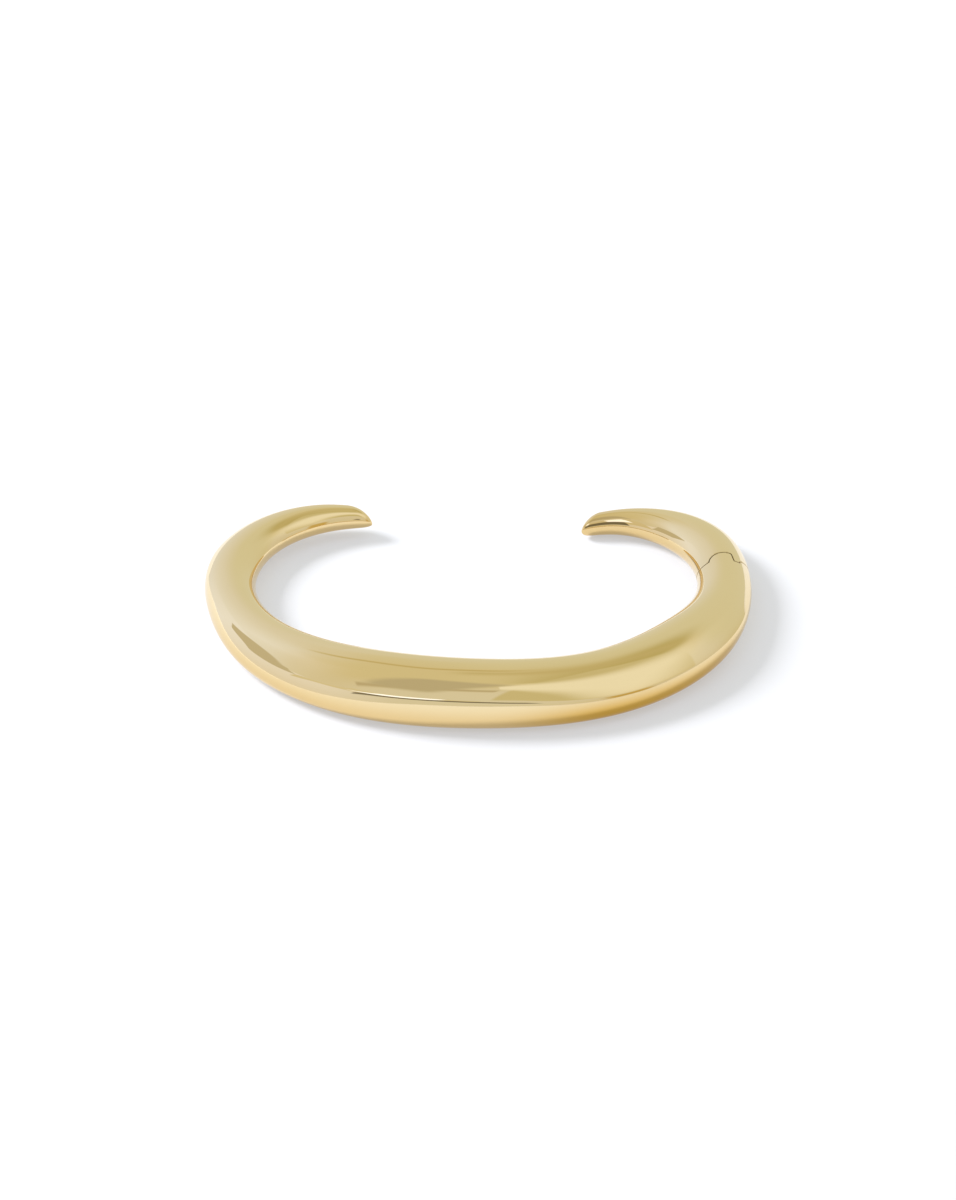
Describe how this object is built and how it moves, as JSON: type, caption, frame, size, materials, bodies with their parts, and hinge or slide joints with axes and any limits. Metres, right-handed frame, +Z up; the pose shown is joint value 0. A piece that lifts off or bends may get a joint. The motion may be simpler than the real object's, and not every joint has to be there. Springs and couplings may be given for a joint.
{
  "type": "collar necklace",
  "caption": "Rigid open collar necklace: a polished gilt band, broad at the front, tapering to two rounded tips, with a concealed hinge at one side.",
  "frame": {"origin": "middle of the collar's outer width and depth, on the surface it lies on", "axes": "+X to the wearer's left, which is the right-hand side seen from the front; -Y to the broad front; +Z up from the surface"},
  "size_m": [0.1525, 0.1203, 0.0142],
  "materials": {
    "polished_gilt": "mirror-polished pale gold plating over brass",
    "pin_metal": "plain drawn brass wire"
  },
  "bodies": {
    "collar": {"collar_bar": "polished_gilt", "hinge_pin": "pin_metal"},
    "arm": {"hinged_arm": "polished_gilt"}
  },
  "joints": [
    {"name": "arm_hinge", "type": "hinge", "parent": "collar", "child": "arm", "pos_m": [0.07443, 0.01814, 0.0048], "axis": [0, 0, -1], "range_deg": [0, 35], "stiffness_Nm_per_rad": 0.03}
  ]
}
